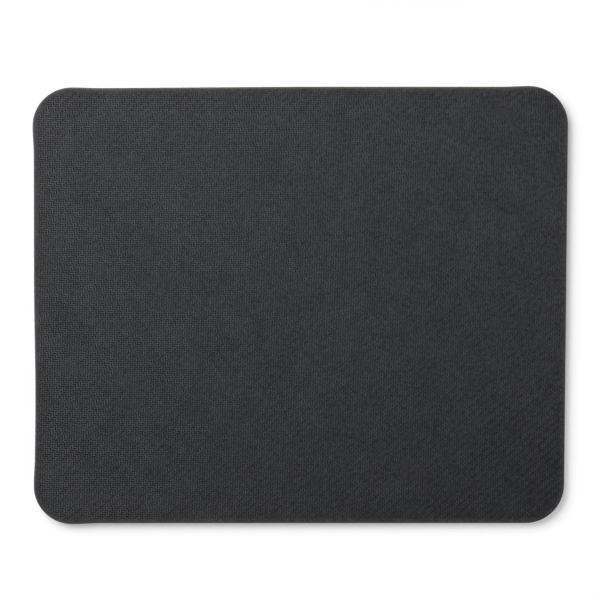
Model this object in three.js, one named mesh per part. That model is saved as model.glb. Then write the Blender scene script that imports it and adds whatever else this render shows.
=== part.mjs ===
// A rectangular mouse pad with rounded corners, cut by one blade from a laminate of three plies.
// It lies face down, with the embossed sponge rubber up. Millimetres, +Z up, +X to the right
// along the pad's width, and the origin at the middle of the cloth face that rests on the table.

import * as THREE from "three";

// The outline, shared by every ply because one blade cuts through them all
const padWidth = 220;
const padDepth = 180;
const cornerRadius = 16;

// The plies, from the table up
const clothThickness = 0.4;
const bondThickness = 0.1;
const rubberThickness = 2.5;

// The rubber's cut edge. Sponge squeezes under the blade and springs back, so the edge leans in
// towards the embossed face, is a little hollow half way up, and ends in a small round.
const edgeLean = 0.8;
const edgeHollow = 0.12;
const edgeRound = 0.3;

// Steps in each curve
const cornerSteps = 10;
const leanSteps = 4;
const roundSteps = 3;

// The cut outline, drawn in by an inset, with each corner on the same centre
function outline(inset) {
  const right = padWidth / 2 - inset;
  const back = padDepth / 2 - inset;
  const radius = cornerRadius - inset;
  const shape = new THREE.Shape();
  shape.absarc(right - radius, back - radius, radius, 0, Math.PI / 2);
  shape.absarc(radius - right, back - radius, radius, Math.PI / 2, Math.PI);
  shape.absarc(radius - right, radius - back, radius, Math.PI, 1.5 * Math.PI);
  shape.absarc(right - radius, radius - back, radius, 1.5 * Math.PI, 2 * Math.PI);
  shape.closePath();
  return shape;
}

// A ply with a straight edge, standing on its own zero height
function straightPly(thickness) {
  return new THREE.ExtrudeGeometry(outline(0), {
    depth: thickness,
    bevelEnabled: false,
    curveSegments: cornerSteps,
  });
}

// The insets and heights up the rubber's cut edge, from the bond to the embossed face
function cutEdge() {
  const levels = [];
  for (let step = 0; step <= leanSteps; step += 1) {
    const share = step / leanSteps;
    levels.push({
      inset: edgeLean * share + edgeHollow * Math.sin(Math.PI * share),
      height: (rubberThickness - edgeRound) * share,
    });
  }
  for (let step = 1; step <= roundSteps; step += 1) {
    const angle = (Math.PI / 2) * (step / roundSteps);
    levels.push({
      inset: edgeLean + edgeRound * (1 - Math.cos(angle)),
      height: rubberThickness - edgeRound * (1 - Math.sin(angle)),
    });
  }
  return levels;
}

// The outline's points at one inset, once round and with no point twice
function ring(inset) {
  const points = outline(inset).extractPoints(cornerSteps).shape;
  return points[0].equals(points[points.length - 1]) ? points.slice(0, -1) : points;
}

// A closed solid through rings of equally many points, flat at the bottom and at the top
function loft(levels) {
  const rings = levels.map(({ inset }) => ring(inset));
  const count = rings[0].length;
  const positions = levels.flatMap(({ height }, level) =>
    rings[level].flatMap((point) => [point.x, point.y, height]),
  );
  const indices = [];
  for (let level = 1; level < levels.length; level += 1) {
    const low = (level - 1) * count;
    const high = level * count;
    for (let here = 0; here < count; here += 1) {
      const next = (here + 1) % count;
      indices.push(low + here, low + next, high + next);
      indices.push(low + here, high + next, high + here);
    }
  }
  const top = (levels.length - 1) * count;
  THREE.ShapeUtils.triangulateShape(rings[0], []).forEach(([a, b, c]) => {
    indices.push(a, c, b);
  });
  THREE.ShapeUtils.triangulateShape(rings[levels.length - 1], []).forEach(([a, b, c]) => {
    indices.push(top + a, top + b, top + c);
  });
  const geometry = new THREE.BufferGeometry();
  geometry.setAttribute("position", new THREE.Float32BufferAttribute(positions, 3));
  geometry.setIndex(indices);
  geometry.computeVertexNormals();
  return geometry;
}

// The white polyester cloth that a mouse runs on
function faceCloth() {
  const cloth = new THREE.MeshStandardMaterial({ color: "#e9e9e7", roughness: 0.9, metalness: 0 });
  const mesh = new THREE.Mesh(straightPly(clothThickness), cloth);
  mesh.name = "face_cloth";
  return mesh;
}

// The hot melt adhesive between the cloth and the rubber
function bondFilm() {
  const glue = new THREE.MeshStandardMaterial({ color: "#8b8983", roughness: 0.6, metalness: 0 });
  const mesh = new THREE.Mesh(straightPly(bondThickness), glue);
  mesh.name = "bond_film";
  mesh.position.z = clothThickness;
  return mesh;
}

// The charcoal sponge rubber with the embossed face
function rubberBase() {
  const rubber = new THREE.MeshStandardMaterial({ color: "#3b3c3e", roughness: 0.8, metalness: 0 });
  const mesh = new THREE.Mesh(loft(cutEdge()), rubber);
  mesh.name = "rubber_base";
  mesh.position.z = clothThickness + bondThickness;
  return mesh;
}

const pad = new THREE.Group();
pad.add(faceCloth(), bondFilm(), rubberBase());

export default pad;
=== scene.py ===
# The looks of a mouse pad that lies face down: sponge rubber with a woven emboss above, a thin
# adhesive film, and a knitted cloth face below. Metres, +Z up, the same frame as the solids.

import math

import bpy
import numpy as np
from mathutils import Euler, Matrix, Vector, geometry


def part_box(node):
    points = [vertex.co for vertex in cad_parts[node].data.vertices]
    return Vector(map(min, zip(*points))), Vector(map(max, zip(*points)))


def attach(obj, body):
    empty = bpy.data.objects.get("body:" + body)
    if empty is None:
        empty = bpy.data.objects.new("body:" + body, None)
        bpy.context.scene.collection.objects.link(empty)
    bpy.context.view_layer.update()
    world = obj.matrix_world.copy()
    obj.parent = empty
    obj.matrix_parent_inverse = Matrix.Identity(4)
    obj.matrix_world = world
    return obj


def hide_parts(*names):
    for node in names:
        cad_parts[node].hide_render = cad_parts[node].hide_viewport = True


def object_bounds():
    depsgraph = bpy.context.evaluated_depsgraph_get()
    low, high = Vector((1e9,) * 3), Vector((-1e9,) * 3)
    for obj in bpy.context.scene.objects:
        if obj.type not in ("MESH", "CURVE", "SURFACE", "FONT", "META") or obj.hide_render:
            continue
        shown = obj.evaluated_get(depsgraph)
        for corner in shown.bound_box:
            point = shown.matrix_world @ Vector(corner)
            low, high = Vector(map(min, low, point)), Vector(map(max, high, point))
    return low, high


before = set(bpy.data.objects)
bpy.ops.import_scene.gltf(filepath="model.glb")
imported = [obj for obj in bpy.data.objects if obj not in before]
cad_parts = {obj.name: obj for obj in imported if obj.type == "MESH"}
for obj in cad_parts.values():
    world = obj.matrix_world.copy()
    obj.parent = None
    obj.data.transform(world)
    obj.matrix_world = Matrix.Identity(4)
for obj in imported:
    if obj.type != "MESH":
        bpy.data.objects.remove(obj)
cad_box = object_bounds()

MM = 0.001

# The cut, shared by every ply
HALF_WIDTH, HALF_DEPTH = cad_box[1].x, cad_box[1].y
CORNER_RADIUS = 16 * MM
EDGE_STEP = 1.35 * MM
CORNER_STEPS = 20

# The photographed sheet isn't cut quite square: its sides lean, its left edge bows in a little
# towards the near corner, its far edge comes down a little towards the left, and all corners but
# the near right one stand out a little, by these amounts to the right and to the far side.
SIDE_LEAN_SHARE = 0.0043
LEFT_BOW = 0.5 * MM
LEFT_BOW_PLACE = -37 * MM
LEFT_BOW_REACH = 50 * MM
FAR_DROP = 0.75 * MM
BEND_DEPTH = 60 * MM
CORNER_REACH = 28 * MM
FAR_RIGHT_OUT = (0.0, 0.31 * MM)
FAR_LEFT_OUT = (-0.45 * MM, 0.35 * MM)
NEAR_LEFT_OUT = (-0.31 * MM, -0.41 * MM)

# The rubber's cut edge, as in the solids. The blade's chatter draws it in unevenly, on average
# by a steady share of its size all the way above the foot, and by its size more half way up.
EDGE_LEAN = 0.8 * MM
EDGE_HOLLOW = 0.12 * MM
EDGE_ROUND = 0.3 * MM
WALL_RINGS = 5
ROUND_RINGS = 3
CHATTER = 0.05 * MM
CHATTER_SIZE = 1.6 * MM
STEADY_SHARE = 0.4

# The emboss is the print of a two over, two under twill: a hollow where each float of thread
# pressed in, and thin ridges between them, which come out paler because the hollows get painted
# shade. Threads that run along Y are a warp pitch apart and lean a little to the right, threads
# that run along X a weft pitch.
WARP_PITCH = 0.966 * MM
WEFT_PITCH = 0.8535 * MM
WARP_SLANT_SHARE = 0.0275
WANDER = 0.2 * MM
WANDER_SIZE = 70 * MM
FLOAT = 2
REPEAT = 2 * FLOAT

# How deep the print is, how much of its relief bump adds inside one hollow, how much weaker it
# gets in patches, how much its floats differ, and how it starts at the rim
WARP_DEPTH = 0.07 * MM
WEFT_DEPTH = 0.08 * MM
BUMP_SHARE = 0.3
PATCH_SHARE = 0.3
PATCH_SIZE = 7 * MM
FLOAT_SPREAD_SHARE = 0.12
PLAIN_RIM = 0.5 * MM
FADE_IN = 1.2 * MM

# How much painted shade darkens the hollows of warp floats and of weft floats against the ridges,
# and the painted light and shade over the rubber as a whole: each at the left and at the right,
# first along the far edge and then along the near one. A float's own contrast is a base and a
# random part of this.
WARP_CONTRAST = ((1.1, 0.5), (1.12, 0.85))
WEFT_CONTRAST = ((0.95, 0.6), (1.0, -0.8))
WEFT_CONTRAST_LEAST = -0.1
CONTRAST_BASE, CONTRAST_CHANCE = 1.6, 0.8
PAINTED_LIGHT_TONE = ((1.07, 1.155), (1.10, 0.775))

# In the same four places, how much the hollows close in at the floats' ends, and how much paler
# warp floats are painted, and darker weft ones, than the two together, as painted light and shade
# on the print
WARP_ENDS_SHARE = ((0.8, -0.5), (0.45, 2.0))
WARP_ENDS_MOST = 1.4
WEFT_ENDS_SHARE = ((-0.3, 1.3), (1.5, 1.5))
WARP_PALER = ((-0.04, -0.17), (0.05, 0.26))

# The form of a hollow across a float and along one, its means, and the darkest shade it may give
WIDTH_POWER = 2.0
LENGTH_POWER, LENGTH_SOFTNESS = 8.0, 0.75
MEAN_WIDTH_SHARE = 0.667
MEAN_LENGTH_SHARE = 0.909
DARKEST = 0.15

# The rubber's face: charcoal, and paler and warmer towards the rim, from one reach inside the
# outline to the other
FACE_COLOUR = (0.0249, 0.0256, 0.0284)
RIM_COLOUR = (0.040, 0.039, 0.037, 1)
RIM_SHARE = 0.85
RIM_REACH = (1.2 * MM, 3.2 * MM)

# The face's fine grain, its coarser crumb and the clouds over the whole of it: their sizes, how
# much they and each float's chance change the colour, how high grain and crumb stand, and how the
# depth of a hollow is a base and a random part
GRAIN_SIZE = 0.14 * MM
CRUMB_SIZE = 1.1 * MM
CLOUD_SIZE = 12 * MM
CLOUD_DETAIL, CLOUD_ROUGHNESS = 5.0, 0.65
CLOUD_TINT, CRUMB_TINT, FLOAT_TINT, TINT_BASE = 0.6, 1.3, 0.2, -0.05
GRAIN_HEIGHT = 0.003 * MM
CRUMB_HEIGHT = 0.03 * MM
DEPTH_BASE, DEPTH_CHANCE = 0.85, 0.3

# The cut edge: open cells of sponge, with painted shade in their pits and paler walls between them
CELL_SIZE = 0.28 * MM
CELL_GRAIN_SIZE = 0.4 * MM
PIT_REACH = (0.1, 0.55)
PIT_SHADE_COLOUR = (0.021, 0.0195, 0.0175, 1)
CELL_WALL_COLOUR = (0.066, 0.061, 0.054, 1)
CELL_GRAIN_TINT = (0.8, 1.2)
CELL_HEIGHT = 0.05 * MM
CELL_GRAIN_HEIGHT = 0.06 * MM

# The adhesive, smeared from dark to pale
SMEAR_SIZE = 0.9 * MM
SMEAR_HEIGHT = 0.02 * MM
THIN_FILM_COLOUR = (0.16, 0.155, 0.145, 1)
THICK_FILM_COLOUR = (0.38, 0.37, 0.34, 1)

# The cloth's knit: the width of a column of loops, the height of a loop and how it leans, how
# round its yarn is each way, and the lint and clouds over it
WALE_WIDTH = 0.42 * MM
LOOP_HEIGHT = 0.34 * MM
LOOP_LEAN = 0.5
WALE_POWER, LOOP_POWER = 3.0, 2.0
YARN_HEIGHT = 0.05 * MM
LINT_SIZE = 0.08 * MM
LINT_SHARE = 0.2
LINT_HEIGHT = 0.01 * MM
CLOTH_CLOUD_SIZE = 20 * MM
CLOTH_CLOUD_TINT = (0.95, 1.0)
# Painted shade in the gaps between the yarns, and the yarn's own white
GAP_SHADE_COLOUR = (0.60, 0.60, 0.585, 1)
YARN_COLOUR = (0.86, 0.86, 0.85, 1)
SHEEN, SHEEN_ROUGHNESS = 0.25, 0.5

# How rough each surface is where its noise is least and where it is most, and how much the
# rubber shines
FACE_ROUGHNESS = (0.6, 0.72)
CUT_ROUGHNESS = (0.75, 0.9)
FILM_ROUGHNESS = (0.35, 0.55)
CLOTH_ROUGHNESS = (0.8, 0.9)
FACE_GLOSS, CUT_GLOSS = 0.1, 0.3

# The cloth's own edge, pressed down by the blade
CLOTH_EDGE_ROUND = 0.16 * MM
FILM_EDGE_BACK = 0.03 * MM
CAP_MARGIN = 1.5 * MM

# The camera, almost straight above, with a square sensor in Blender's own millimetres
CAMERA_DISTANCE = 461.5 * MM
CAMERA_TILT = math.radians(-1.475)
CAMERA_TARGET = Vector((0, 2.48 * MM, 0.5 * MM))
FIELD_OF_VIEW = math.radians(30)
SENSOR_SIDE = 36

# Light: one soft box from the upper left, and the room
KEY_AZIMUTH = math.radians(136)
KEY_ELEVATION = math.radians(40.5)
KEY_DISTANCE = 600 * MM
KEY_WIDTH = 600 * MM
KEY_HEIGHT = 380 * MM
KEY_POWER = 4.6
ROOM_LIGHT = 0.5

# The table top: how much light it sends back, how bright it is where nothing shades it, how far
# it reaches each way, and how far it lies under the cloth
TABLE_COLOUR = 1.0
TABLE_WHITE = 1.02
TABLE_REACH = 3.0
TABLE_GAP = 0.02 * MM

# How high the room's white walls reach, as the upward share of the line of sight
WALL_TOP = (0.35, 0.75)

# The noise in the shapes, and how many rounds of correction it takes to turn a place back into
# one on the true rectangle, or one counted in threads
SEED = 7
WAVES = 16
CUT_ROUNDS = 3
THREAD_ROUNDS = 4


class Signal:
    """A node socket that can stand in a formula."""

    def __init__(self, tree, socket):
        self.tree, self.socket = tree, socket

    def math(self, operation, *others):
        node = self.tree.nodes.new("ShaderNodeMath")
        node.operation = operation
        for slot, value in zip(node.inputs, (self, *others)):
            join(self.tree, value, slot)
        return Signal(self.tree, node.outputs[0])

    def __add__(self, other):
        return self.math("ADD", other)

    def __sub__(self, other):
        return self.math("SUBTRACT", other)

    def __rsub__(self, other):
        return self.math("MULTIPLY_ADD", -1.0, other)

    def __mul__(self, other):
        return self.math("MULTIPLY", other)

    def __truediv__(self, other):
        return self.math("DIVIDE", other)

    def __rtruediv__(self, other):
        return self.math("POWER", -1.0) * other

    def __lt__(self, other):
        return self.math("LESS_THAN", other)

    def __gt__(self, other):
        return self.math("GREATER_THAN", other)

    def __abs__(self):
        return self.math("ABSOLUTE")

    __radd__, __rmul__ = __add__, __mul__

    def power(self, other):
        return self.math("POWER", other)

    def floor(self):
        return self.math("FLOOR")

    def fraction(self):
        return self.math("FRACT")

    def cycle(self, length):
        """The remainder, from zero up to length, also for numbers below zero."""
        return self.math("FLOORED_MODULO", length)

    def above(self, other):
        return self.math("MAXIMUM", other)

    def below(self, other):
        return self.math("MINIMUM", other)

    def ramp(self, start, end, low=0.0, high=1.0):
        """Turns start into low and end into high, smoothly, and holds outside them."""
        node = self.tree.nodes.new("ShaderNodeMapRange")
        node.interpolation_type = "SMOOTHSTEP"
        for slot, value in zip(node.inputs, (self, start, end, low, high)):
            join(self.tree, value, slot)
        return Signal(self.tree, node.outputs[0])


def join(tree, value, slot):
    """Links a signal to a node's input, or sets the input to a plain value."""
    if isinstance(value, Signal):
        tree.links.new(value.socket, slot)
    else:
        slot.default_value = value


def add(tree, kind, inputs=None, output=0, **settings):
    """Adds a node with these settings and inputs, and returns one of its outputs."""
    node = tree.nodes.new(kind)
    for name, value in settings.items():
        setattr(node, name, value)
    for name, value in (inputs or {}).items():
        join(tree, value, node.inputs[name])
    return Signal(tree, node.outputs[output])


def new_material(name):
    """A material with an empty tree and its output node."""
    material = bpy.data.materials.new(name)
    material.use_nodes = True
    tree = material.node_tree
    tree.nodes.clear()
    return material, tree, tree.nodes.new("ShaderNodeOutputMaterial")


def split(tree, whole):
    """The three numbers in a vector."""
    node = tree.nodes.new("ShaderNodeSeparateXYZ")
    join(tree, whole, node.inputs[0])
    return [Signal(tree, axis) for axis in node.outputs]


def place(tree):
    """The object coordinates of the shaded point."""
    return add(tree, "ShaderNodeTexCoord", output="Object")


def noted(tree, name):
    """The three numbers that the mesh keeps under this name."""
    return split(tree, add(tree, "ShaderNodeAttribute", output="Vector", attribute_name=name))


def mixed(tree, share, low, high):
    """A colour between two colours."""
    share_slot, low_slot, high_slot, result = 0, 6, 7, 2
    inputs = {share_slot: share, low_slot: low, high_slot: high}
    return add(tree, "ShaderNodeMix", inputs, output=result, data_type="RGBA")


def scaled(tree, colour, factor):
    """A colour made lighter or darker."""
    return add(tree, "ShaderNodeVectorMath", {0: colour, "Scale": factor}, operation="SCALE")


def noise_at(tree, point, size, detail=2.0, roughness=0.5):
    """Soft noise from 0 to 1 with features of about this size."""
    inputs = {"Vector": point, "Scale": 1 / size, "Detail": detail, "Roughness": roughness}
    return add(tree, "ShaderNodeTexNoise", inputs)


def between(share, ends):
    """From the first end, at a share of 0, to the second one, for numbers, fields or signals."""
    first, second = ends
    return share * (second - first) + first


def to_right(x):
    """A place's share of the way from the left edge to the right one."""
    return x / (2 * HALF_WIDTH) + 0.5


def to_near(y):
    """A place's share of the way from the far edge to the near one."""
    return y / (-2 * HALF_DEPTH) + 0.5


def at_place(right, near, corners):
    """Between four numbers: far left and far right, near left and near right."""
    far_edge, near_edge = corners
    return between(near, (between(right, far_edge), between(right, near_edge)))


def combined(tree, x, y, z):
    """A vector of three numbers."""
    node = tree.nodes.new("ShaderNodeCombineXYZ")
    for slot, value in zip(node.inputs, (x, y, z)):
        join(tree, value, slot)
    return Signal(tree, node.outputs[0])


def twill(tree, column, row):
    """The twill at a place counted in threads.

    Returns how far in from the sides of its float that is, and how far in from the float's ends,
    both from 0 on a ridge to 1, whether the float is a warp one, and a random number for each."""
    step = (column.floor() - row.floor()).cycle(REPEAT)
    upright = step < FLOAT - 0.5
    second = (step < 0.5) + (step > REPEAT - 1.5)  # steps are whole, so a half tells them apart
    across_warp = column.fraction()
    across_weft = row.fraction()
    along_warp = (across_weft + second) / FLOAT
    along_weft = (across_warp + second) / FLOAT
    across = between(upright, (across_weft, across_warp))
    along = between(upright, (along_weft, along_warp))
    width = 1.0 - abs(across * 2.0 - 1.0).power(WIDTH_POWER)
    length = (1.0 - abs(along * 2.0 - 1.0).power(LENGTH_POWER)).power(LENGTH_SOFTNESS)
    first_column = column.floor() - second * (1.0 - upright)
    first_row = row.floor() - second * upright
    name = combined(tree, first_column, first_row, upright)
    chance = add(tree, "ShaderNodeTexWhiteNoise", {"Vector": name}, noise_dimensions="3D")
    return width, length, upright, chance


def print_shade(tree, x, y):
    """The print at the shaded point: the painted shade and painted light it gives the rubber, its
    relief, and its float's chance.

    What the four corners differ in changes evenly from left to right. From far to near, some of
    it changes mostly in the far half, and the painted light and shade over the whole face mostly
    in the near one."""
    column, row, _ = noted(tree, "threads")
    strength = noted(tree, "print")[0]
    width, length, upright, chance = twill(tree, column, row)
    right, near = to_right(x), to_near(y)
    early, late = near.power(0.5), near.power(2.0)
    warp_ends = at_place(right, early, WARP_ENDS_SHARE).below(WARP_ENDS_MOST)
    closed = between(upright, (at_place(right, near, WEFT_ENDS_SHARE), warp_ends))
    hollow = width * (1.0 - closed * (1.0 - length))
    usual = MEAN_WIDTH_SHARE * (1.0 - closed * (1.0 - MEAN_LENGTH_SHARE))
    weft_contrast = at_place(right, early, WEFT_CONTRAST).above(WEFT_CONTRAST_LEAST)
    contrast = between(upright, (weft_contrast, at_place(right, near, WARP_CONTRAST)))
    # Painted shade in the hollows, and painted light and shade between warp and weft floats
    darker = (hollow - usual) * contrast * (CONTRAST_BASE + CONTRAST_CHANCE * chance)
    paler = at_place(right, early, WARP_PALER) * (upright * 2.0 - 1.0)
    # Painted light and shade over the whole face, paler towards the far right and darker towards
    # the near right
    painted_light = at_place(right, late, PAINTED_LIGHT_TONE)
    shade = (1.0 + (paler - darker) * strength).above(DARKEST) * painted_light
    depth = between(upright, (WEFT_DEPTH, WARP_DEPTH)) * (DEPTH_BASE + DEPTH_CHANCE * chance)
    relief = hollow * depth * strength * BUMP_SHARE
    return shade, relief, chance


def rubber_face_material():
    """Charcoal sponge rubber with the twill's print, its hollows in painted shade and the face in
    painted light and shade, plainer, paler and warmer at the rim.
    """
    material, tree, out = new_material("embossed_rubber")
    point = place(tree)
    x, y, _ = split(tree, point)
    shade, relief, chance = print_shade(tree, x, y)
    base = scaled(tree, FACE_COLOUR, shade)
    inside = noted(tree, "threads")[2]
    plain = inside.ramp(*RIM_REACH, RIM_SHARE, 0.0)
    base = mixed(tree, plain, base, RIM_COLOUR)
    grain = noise_at(tree, point, GRAIN_SIZE, detail=3.0)
    crumb = noise_at(tree, point, CRUMB_SIZE, detail=1.0)
    cloud = noise_at(tree, point, CLOUD_SIZE, CLOUD_DETAIL, CLOUD_ROUGHNESS)
    tint = CLOUD_TINT * cloud + CRUMB_TINT * crumb + FLOAT_TINT * chance + TINT_BASE
    base = scaled(tree, base, tint)
    surface = crumb * CRUMB_HEIGHT + grain * GRAIN_HEIGHT - relief
    bump = add(tree, "ShaderNodeBump", {"Height": surface, "Distance": 1.0, "Strength": 1.0})
    roughness = between(crumb, FACE_ROUGHNESS)
    shader = add(
        tree,
        "ShaderNodeBsdfPrincipled",
        {
            "Base Color": base,
            "Roughness": roughness,
            "Normal": bump,
            "Specular IOR Level": FACE_GLOSS,
        },
    )
    join(tree, shader, out.inputs["Surface"])
    return material


def rubber_cut_material():
    """The cut edge: open sponge cells, a little browner and duller than the face."""
    material, tree, out = new_material("cut_sponge")
    point = place(tree)
    cell_inputs = {"Vector": point, "Scale": 1 / CELL_SIZE}
    cells = add(tree, "ShaderNodeTexVoronoi", cell_inputs, output="Distance")
    grain = noise_at(tree, point, CELL_GRAIN_SIZE, detail=4.0)
    wall = cells.ramp(*PIT_REACH)
    # Painted shade in the pits of the cells, the walls between them paler
    base = mixed(tree, wall, PIT_SHADE_COLOUR, CELL_WALL_COLOUR)
    base = scaled(tree, base, between(grain, CELL_GRAIN_TINT))
    surface = wall * CELL_HEIGHT + grain * CELL_GRAIN_HEIGHT
    bump = add(tree, "ShaderNodeBump", {"Height": surface, "Distance": 1.0, "Strength": 1.0})
    roughness = between(grain, CUT_ROUGHNESS)
    shader = add(
        tree,
        "ShaderNodeBsdfPrincipled",
        {
            "Base Color": base,
            "Roughness": roughness,
            "Normal": bump,
            "Specular IOR Level": CUT_GLOSS,
        },
    )
    join(tree, shader, out.inputs["Surface"])
    return material


def film_material():
    """Hot melt adhesive, a waxy grey line between the plies."""
    material, tree, out = new_material("hot_melt")
    smear = noise_at(tree, place(tree), SMEAR_SIZE, detail=3.0)
    base = mixed(tree, smear, THIN_FILM_COLOUR, THICK_FILM_COLOUR)
    bump = add(tree, "ShaderNodeBump", {"Height": smear * SMEAR_HEIGHT, "Distance": 1.0})
    roughness = between(smear, FILM_ROUGHNESS)
    shader = add(
        tree,
        "ShaderNodeBsdfPrincipled",
        {"Base Color": base, "Roughness": roughness, "Normal": bump},
    )
    join(tree, shader, out.inputs["Surface"])
    return material


def cloth_material():
    """Fine knitted polyester: wales along Y, each a column of small V shaped loops."""
    material, tree, out = new_material("knit_cloth")
    point = place(tree)
    x, y, _ = split(tree, point)
    wale = (x / WALE_WIDTH).fraction() * 2.0 - 1.0
    lean = abs(wale) * LOOP_LEAN
    loop = (y / LOOP_HEIGHT + lean).fraction() * 2.0 - 1.0
    yarn = (1.0 - abs(wale).power(WALE_POWER)) * (1.0 - abs(loop).power(LOOP_POWER))
    lint = noise_at(tree, point, LINT_SIZE, detail=3.0)
    cloud = noise_at(tree, point, CLOTH_CLOUD_SIZE)
    shade = between(LINT_SHARE, (yarn, lint))
    # Painted shade in the gaps of the knit, the yarn itself white
    base = mixed(tree, shade, GAP_SHADE_COLOUR, YARN_COLOUR)
    base = scaled(tree, base, between(cloud, CLOTH_CLOUD_TINT))
    surface = yarn * YARN_HEIGHT + lint * LINT_HEIGHT
    bump = add(tree, "ShaderNodeBump", {"Height": surface, "Distance": 1.0})
    shader = add(
        tree,
        "ShaderNodeBsdfPrincipled",
        {
            "Base Color": base,
            "Roughness": between(lint, CLOTH_ROUGHNESS),
            "Normal": bump,
            "Sheen Weight": SHEEN,
            "Sheen Roughness": SHEEN_ROUGHNESS,
        },
    )
    join(tree, shader, out.inputs["Surface"])
    return material


def rough(points, size, seed):
    """Smooth noise from -1 to 1 at each point, with features of about this size."""
    chance = np.random.default_rng(seed)
    waves = chance.normal(size=(WAVES, points.shape[1])) * math.pi / (math.sqrt(2) * size)
    phases = chance.uniform(0, 2 * math.pi, WAVES)
    total = np.cos(points @ waves.T + phases).sum(axis=1) / math.sqrt(WAVES)
    return np.clip(total, -1, 1)


def as_cut(x, y):
    """Moves places of the true rectangle to where the blade, a little out of square, cut them."""
    near_left = np.clip(1 - (x + HALF_WIDTH) / BEND_DEPTH, 0, 1) ** 2
    hump = np.cos(np.clip((y - LEFT_BOW_PLACE) / LEFT_BOW_REACH, -1, 1) * math.pi / 2) ** 2
    near_far = np.clip(1 - (HALF_DEPTH - y) / BEND_DEPTH, 0, 1) ** 2
    to_left = np.clip(-x / HALF_WIDTH, 0, 1)
    squeeze = 1 - SIDE_LEAN_SHARE * (HALF_DEPTH - CORNER_RADIUS) / HALF_WIDTH
    cut_x = (x + SIDE_LEAN_SHARE * y) * squeeze + LEFT_BOW * hump * near_left
    cut_y = y - FAR_DROP * near_far * to_left
    corners = ((1, 1, FAR_RIGHT_OUT), (-1, 1, FAR_LEFT_OUT), (-1, -1, NEAR_LEFT_OUT))
    for right, far, (out_x, out_y) in corners:
        away = np.hypot(x - right * HALF_WIDTH, y - far * HALF_DEPTH)
        past = np.clip((away - CORNER_RADIUS) / (CORNER_REACH - CORNER_RADIUS), 0, 1)
        share = np.cos(past * math.pi / 2) ** 2
        cut_x = cut_x + share * out_x
        cut_y = cut_y + share * out_y
    return cut_x, cut_y


def inside_cut(x, y):
    """How far each place is inside the outline as it was cut."""
    true_x, true_y = x, y
    for _ in range(CUT_ROUNDS):
        moved_x, moved_y = as_cut(true_x, true_y)
        true_x, true_y = true_x + x - moved_x, true_y + y - moved_y
    past_x = abs(true_x) - (HALF_WIDTH - CORNER_RADIUS)
    past_y = abs(true_y) - (HALF_DEPTH - CORNER_RADIUS)
    corner = np.hypot(np.maximum(past_x, 0), np.maximum(past_y, 0))
    return CORNER_RADIUS - corner - np.minimum(np.maximum(past_x, past_y), 0)


def outline_points():
    """Points once round the true outline, with the direction that points out of each."""
    points, outward = [], []
    corners = ((1, 1), (-1, 1), (-1, -1), (1, -1))
    straights = (HALF_WIDTH, HALF_DEPTH, HALF_WIDTH, HALF_DEPTH)
    for turn, ((right, far), straight) in enumerate(zip(corners, straights)):
        centre = Vector((right * (HALF_WIDTH - CORNER_RADIUS), far * (HALF_DEPTH - CORNER_RADIUS)))
        for step in range(CORNER_STEPS + 1):
            angle = (turn + step / CORNER_STEPS) * math.pi / 2
            direction = Vector((math.cos(angle), math.sin(angle)))
            points.append(centre + CORNER_RADIUS * direction)
            outward.append(direction)
        length = 2 * (straight - CORNER_RADIUS)
        count = round(length / EDGE_STEP)
        along = Vector((-math.sin(angle), math.cos(angle)))
        start = points[-1]
        for step in range(1, count):
            points.append(start + along * length * step / count)
            outward.append(direction)
    return np.array(points), np.array(outward)


def ring_at(round_it, outward, inset, height):
    """The outline as it was cut, drawn in by an inset, at one height."""
    flat = round_it - outward * np.reshape(inset, (-1, 1))
    return np.column_stack([*as_cut(*flat.T), np.broadcast_to(height, len(flat))])


class Body:
    """Vertices and faces gathered piece by piece into one closed mesh."""

    def __init__(self):
        self.points, self.faces, self.slots = [], [], []
        self.count = 0

    def add_points(self, points):
        first = self.count
        self.points.append(np.asarray(points, float))
        self.count += len(points)
        return np.arange(first, self.count)

    def add_faces(self, faces, slot=0):
        faces = [tuple(int(i) for i in face) for face in faces]
        self.faces += faces
        self.slots += [slot] * len(faces)

    def wall(self, low, high, slot=0):
        """Joins two rings of equally many points, the faces pointing out of the ring."""
        next_low, next_high = np.roll(low, -1), np.roll(high, -1)
        self.add_faces(zip(low, next_low, next_high, high), slot)

    def make(self, name, materials):
        mesh = bpy.data.meshes.new(name)
        mesh.from_pydata(np.concatenate(self.points), [], self.faces)
        for material in materials:
            mesh.materials.append(material)
        mesh.polygons.foreach_set("material_index", self.slots)
        mesh.polygons.foreach_set("use_smooth", [True] * len(self.faces))
        mesh.update()
        mesh.validate()
        piece = bpy.data.objects.new(name, mesh)
        bpy.context.collection.objects.link(piece)
        return piece


def thread_place(column, row):
    """Where on the pad a place counted in threads lies."""
    flat = np.column_stack([column * WARP_PITCH, row * WEFT_PITCH])
    x, y = flat.T
    y = y + WANDER * rough(flat, WANDER_SIZE, SEED)
    return x + WARP_SLANT_SHARE * y + WANDER * rough(flat, WANDER_SIZE, SEED + 1), y


def thread_count(x, y):
    """The other way round: each place counted in threads, by repeated correction."""
    column, row = x / WARP_PITCH, y / WEFT_PITCH
    for _ in range(THREAD_ROUNDS):
        there_x, there_y = thread_place(column, row)
        column = column + (x - there_x) / WARP_PITCH
        row = row + (y - there_y) / WEFT_PITCH
    return column, row


def print_strength(x, y):
    """How much of the print there is at each place."""
    patch = 1 - PATCH_SHARE * np.clip(rough(np.column_stack([x, y]), PATCH_SIZE, SEED + 2), 0, 1)
    past_rim = inside_cut(x, y) - (EDGE_LEAN + EDGE_ROUND)
    return patch * np.clip(past_rim / FADE_IN, 0, 1)


def note_print(mesh):
    """Keeps the print's lattice and strength on the mesh, where its material reads them."""
    places = np.empty(3 * len(mesh.vertices))
    mesh.vertices.foreach_get("co", places)
    x, y, _ = places.reshape(-1, 3).T
    notes = {
        "threads": (*thread_count(x, y), inside_cut(x, y)),
        "print": (print_strength(x, y), np.zeros_like(x), np.zeros_like(x)),
    }
    for name, values in notes.items():
        layer = mesh.attributes.new(name, "FLOAT_VECTOR", "POINT")
        layer.data.foreach_set("vector", np.column_stack(values).astype(np.float32).ravel())


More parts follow.
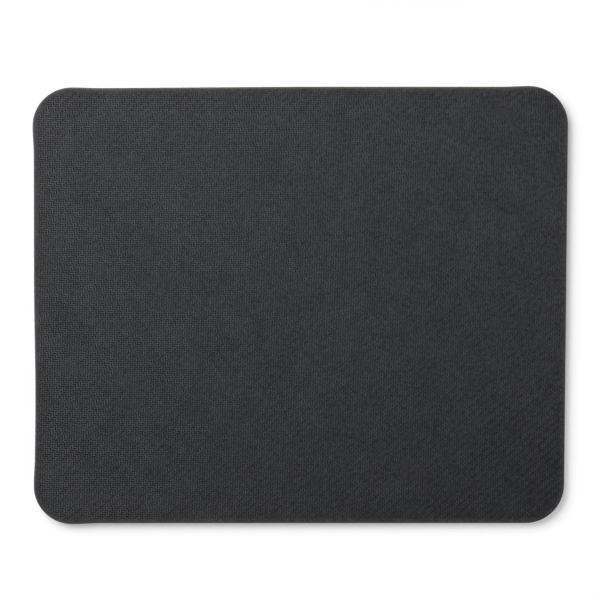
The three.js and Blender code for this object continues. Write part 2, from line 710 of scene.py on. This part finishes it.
def emboss(body, top, deepest_inset):
    """The crossings of the twill that fit inside the rim, as a field of hollows.

    Each crossing is lowest at its middle, and the two crossings of one float share a hollow.
    Returns the border of the field as pairs of points."""
    lean = WARP_SLANT_SHARE * HALF_DEPTH
    columns = math.ceil((HALF_WIDTH + lean) / WARP_PITCH) + 1
    rows = math.ceil(HALF_DEPTH / WEFT_PITCH) + 1
    shape = (2 * columns + 1, 2 * rows + 1)
    column, row = (axis.ravel() for axis in np.indices(shape))
    x, y = thread_place(column - columns, row - rows)
    node_in = (inside_cut(x, y) > deepest_inset).reshape(shape)
    cell_in = node_in[:-1, :-1] & node_in[1:, :-1] & node_in[:-1, 1:] & node_in[1:, 1:]
    used = np.zeros_like(node_in)
    for right in (0, 1):
        for up in (0, 1):
            used[right : right + cell_in.shape[0], up : up + cell_in.shape[1]] |= cell_in
    nodes = np.column_stack([x, y, np.full_like(x, top)])
    node_index = np.full(shape, -1)
    node_index[used] = body.add_points(nodes[used.ravel()])

    column, row = np.nonzero(cell_in)
    step = (column - columns - (row - rows)) % REPEAT
    second = (step == 0) | (step == REPEAT - 1)
    upright = step < FLOAT
    spread = np.random.default_rng(SEED).uniform(1 - FLOAT_SPREAD_SHARE, 1, shape)
    own = spread[column - (second & ~upright), row - (second & upright)]
    x, y = thread_place(column - columns + 0.5, row - rows + 0.5)
    pressed = own * print_strength(x, y) * np.where(upright, WARP_DEPTH, WEFT_DEPTH)
    middle = np.full(cell_in.shape, -1)
    middle[column, row] = body.add_points(np.column_stack([x, y, top - pressed]))

    south_west = node_index[column, row]
    south_east = node_index[column + 1, row]
    north_east = node_index[column + 1, row + 1]
    north_west = node_index[column, row + 1]
    mine = middle[column, row]
    sides = {
        (0, -1): (south_west, south_east),
        (1, 0): (south_east, north_east),
        (0, 1): (north_east, north_west),
        (-1, 0): (north_west, south_west),
    }
    partner_side = {0: (0, -1), 1: (0, 1), 2: (1, 0), 3: (-1, 0)}
    border = []
    for (right, up), (first, last) in sides.items():
        beside = middle[column + right, row + up]
        paired = np.array([partner_side[s] == (right, up) for s in step]) & (beside >= 0)
        alone = ~paired
        body.add_faces(np.column_stack([mine, first, last])[alone])
        leads = paired & (right + up > 0)
        body.add_faces(np.column_stack([mine, first, beside])[leads])
        body.add_faces(np.column_stack([beside, last, mine])[leads])
        border += zip(first[beside < 0], last[beside < 0])
    return border


def enclosed(places, edges):
    """Whether each place is inside the closed line of these edges, by how often a line that
    runs from it to the right crosses them."""
    x, y = places[:, None].transpose(2, 0, 1)
    (start_x, start_y), (end_x, end_y) = edges.transpose(1, 2, 0)
    spans = (start_y > y) != (end_y > y)
    slope = (end_x - start_x) / np.where(end_y == start_y, 1, end_y - start_y)
    crossed = spans & (x < start_x + (y - start_y) * slope)
    return crossed.sum(axis=1) % 2 == 1


def fill_band(body, ring, border):
    """Triangles between the rim's ring and the border of the emboss."""
    points = np.concatenate(body.points)
    inner = sorted({int(i) for edge in border for i in edge})
    index = [int(i) for i in ring] + inner
    place_of = {old: new for new, old in enumerate(index)}
    count = len(ring)
    edges = [(i, (i + 1) % count) for i in range(count)]
    edges += [(place_of[int(a)], place_of[int(b)]) for a, b in border]
    flat = [Vector(points[i, :2]) for i in index]
    inside_only, merge_within = 1, 1e-9
    result = geometry.delaunay_2d_cdt(flat, edges, [], inside_only, merge_within)
    corners, triangles, came_from = np.array(result[0]), np.array(result[2]), result[3]
    if len(corners) != len(index):
        raise ValueError("the rim and the emboss cross each other")
    names = np.array([index[sources[0]] for sources in came_from])
    in_emboss = enclosed(corners[triangles].mean(axis=1), points[np.array(border), :2])
    for a, b, c in triangles[~in_emboss]:
        turn = np.cross(corners[b] - corners[a], corners[c] - corners[a])
        face = names[[a, b, c]]
        body.add_faces([face if turn > 0 else face[::-1]])


def rubber_sheet():
    """The sponge rubber: the embossed face, the rounded rim and the uneven cut edge, closed."""
    low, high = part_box("rubber_base")
    thickness = high.z - low.z
    round_it, outward = outline_points()
    body = Body()
    under_cap = body.add_points(ring_at(round_it, outward, CAP_MARGIN, low.z))
    levels = []
    for step in range(WALL_RINGS + 1):
        share = step / WALL_RINGS
        inset = EDGE_LEAN * share + EDGE_HOLLOW * math.sin(math.pi * share)
        levels.append((inset, low.z + (thickness - EDGE_ROUND) * share, math.sin(math.pi * share)))
    for step in range(1, ROUND_RINGS + 1):
        angle = math.pi / 2 * step / ROUND_RINGS
        inset = EDGE_LEAN + EDGE_ROUND * (1 - math.cos(angle))
        levels.append((inset, high.z - EDGE_ROUND * (1 - math.sin(angle)), 0.0))
    rings = [under_cap]
    for number, (inset, height, loose) in enumerate(levels):
        at_height = ring_at(round_it, outward, inset, height)
        uneven = rough(at_height, CHATTER_SIZE, SEED + number)
        drawn = inset + CHATTER * (STEADY_SHARE + loose) * (1 + uneven) * (inset > 0)
        rings.append(body.add_points(ring_at(round_it, outward, drawn, height)))
    body.wall(rings[0], rings[1])
    for below, above in zip(rings[1:], rings[2:]):
        body.wall(below, above, 1)
    body.add_faces([under_cap[::-1]])
    border = emboss(body, high.z, EDGE_LEAN + EDGE_ROUND + 2 * CHATTER + PLAIN_RIM)
    fill_band(body, rings[-1], border)
    piece = body.make("rubber_sheet", [rubber_face_material(), rubber_cut_material()])
    note_print(piece.data)
    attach(piece, "root")
    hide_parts("rubber_base")


def adhesive_layer():
    """The film between the plies, drawn back a hair from the cut."""
    low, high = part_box("bond_film")
    round_it, outward = outline_points()
    body = Body()
    rings = []
    for inset, height in (
        (CAP_MARGIN, low.z),
        (FILM_EDGE_BACK, low.z),
        (0.0, (low.z + high.z) / 2),
        (FILM_EDGE_BACK, high.z),
        (CAP_MARGIN, high.z),
    ):
        rings.append(body.add_points(ring_at(round_it, outward, inset, height)))
    for below, above in zip(rings, rings[1:]):
        body.wall(below, above)
    body.add_faces([rings[0][::-1], rings[-1]])
    piece = body.make("adhesive_layer", [film_material()])
    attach(piece, "root")
    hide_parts("bond_film")


def cloth_sheet():
    """The knitted cloth, with its lower edge pressed round by the blade."""
    low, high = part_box("face_cloth")
    round_it, outward = outline_points()
    body = Body()
    rings = [body.add_points(ring_at(round_it, outward, CAP_MARGIN, low.z))]
    for step in range(ROUND_RINGS + 1):
        angle = math.pi / 2 * step / ROUND_RINGS
        inset = CLOTH_EDGE_ROUND * (1 - math.sin(angle))
        height = low.z + CLOTH_EDGE_ROUND * (1 - math.cos(angle))
        rings.append(body.add_points(ring_at(round_it, outward, inset, height)))
    rings.append(body.add_points(ring_at(round_it, outward, 0.0, high.z)))
    rings.append(body.add_points(ring_at(round_it, outward, CAP_MARGIN, high.z)))
    for below, above in zip(rings, rings[1:]):
        body.wall(below, above)
    body.add_faces([rings[0][::-1], rings[-1]])
    piece = body.make("cloth_sheet", [cloth_material()])
    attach(piece, "root")
    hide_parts("face_cloth")


def make_camera():
    """Looks almost straight down, a little from beyond the pad's middle."""
    data = bpy.data.cameras.new("camera")
    data.sensor_width = data.sensor_height = SENSOR_SIDE
    data.angle = FIELD_OF_VIEW
    camera = bpy.data.objects.new("camera", data)
    bpy.context.collection.objects.link(camera)
    turn = Euler((CAMERA_TILT, 0, 0)).to_matrix()
    back = turn @ Vector((0, 0, CAMERA_DISTANCE))
    camera.matrix_world = Matrix.Translation(CAMERA_TARGET + back) @ turn.to_4x4()
    bpy.context.scene.camera = camera


def seen_directly(tree):
    """1 for rays from the camera, or by way of gloss or glass, and 0 for the light that falls."""
    path = tree.nodes.new("ShaderNodeLightPath")
    names = ("Is Camera Ray", "Is Glossy Ray", "Is Transmission Ray")
    camera, gloss, through = (Signal(tree, path.outputs[name]) for name in names)
    return camera.above(gloss).above(through)


def key_turn():
    """The turn that puts the soft box's back, its local Z, away from the pad."""
    flat = math.cos(KEY_ELEVATION)
    away = Vector(
        (math.cos(KEY_AZIMUTH) * flat, math.sin(KEY_AZIMUTH) * flat, math.sin(KEY_ELEVATION))
    )
    return away.to_track_quat("Z", "Y").to_matrix()


def light_on_table(tree):
    """How bright the soft box and the room make a white table at the shaded point.

    The box counts as four small lamps, placed so that they stand for the whole of it."""
    x, y, _ = split(tree, place(tree))
    turn = key_turn()
    away = turn.col[2]
    light = ROOM_LIGHT
    for right in (-1, 1):
        for up in (-1, 1):
            aside = Vector((right * KEY_WIDTH, up * KEY_HEIGHT, 0)) / (2 * math.sqrt(3))
            lamp = turn @ aside + away * KEY_DISTANCE
            to_x, to_y = lamp.x - x, lamp.y - y
            squared = to_x * to_x + to_y * to_y + lamp.z**2
            facing = to_x * away.x + to_y * away.y + lamp.z * away.z
            quarter = KEY_POWER / 4 / math.pi**2
            light = facing * (quarter * lamp.z) / (squared * squared) + light
    return light


def make_floor():
    """A white table top that keeps the pad's shadow and is evenly white all round it.

    Near the soft box its colour is a little darker, and further away it is lifted, so that it
    comes out as one white wherever nothing shades it."""
    mesh = bpy.data.meshes.new("table_top")
    signs = ((-1, -1), (1, -1), (1, 1), (-1, 1))
    corners = [(right * TABLE_REACH, far * TABLE_REACH, -TABLE_GAP) for right, far in signs]
    mesh.from_pydata(corners, [], [(0, 1, 2, 3)])
    floor = bpy.data.objects.new("table_top", mesh)
    bpy.context.collection.objects.link(floor)
    material, tree, out = new_material("white_table")
    light = light_on_table(tree)
    colour = (TABLE_WHITE / light).below(TABLE_COLOUR)
    diffuse = add(tree, "ShaderNodeBsdfDiffuse", {"Color": colour})
    lift = (TABLE_WHITE - colour * light) * seen_directly(tree)
    glow = add(tree, "ShaderNodeEmission", {"Strength": lift})
    both = tree.nodes.new("ShaderNodeAddShader")
    join(tree, diffuse, both.inputs[0])
    join(tree, glow, both.inputs[1])
    join(tree, Signal(tree, both.outputs[0]), out.inputs["Surface"])
    mesh.materials.append(material)


def make_room():
    """Dim even light from all round, with white walls for what looks along the table."""
    world = bpy.data.worlds.new("room")
    bpy.context.scene.world = world
    world.use_nodes = True
    tree = world.node_tree
    tree.nodes.clear()
    up = split(tree, add(tree, "ShaderNodeTexCoord", output="Generated"))[2]
    walls = up.ramp(*WALL_TOP, 1.0, 0.0) * seen_directly(tree)
    strength = ROOM_LIGHT + walls * (1.0 - ROOM_LIGHT)
    inputs = {"Color": (1, 1, 1, 1), "Strength": strength}
    background = add(tree, "ShaderNodeBackground", inputs)
    out = tree.nodes.new("ShaderNodeOutputWorld")
    join(tree, background, out.inputs["Surface"])


def make_key_light():
    """One soft box at the upper left, close enough to fall off across the pad."""
    data = bpy.data.lights.new("soft_box", "AREA")
    data.shape = "RECTANGLE"
    data.size, data.size_y = KEY_WIDTH, KEY_HEIGHT
    data.energy = KEY_POWER
    lamp = bpy.data.objects.new("soft_box", data)
    bpy.context.collection.objects.link(lamp)
    turn = key_turn()
    lamp.location = turn.col[2] * KEY_DISTANCE
    lamp.rotation_euler = turn.to_euler()


make_camera()
rubber_sheet()
adhesive_layer()
cloth_sheet()
make_floor()
make_room()
make_key_light()
bpy.context.scene.view_settings.view_transform = "Standard"
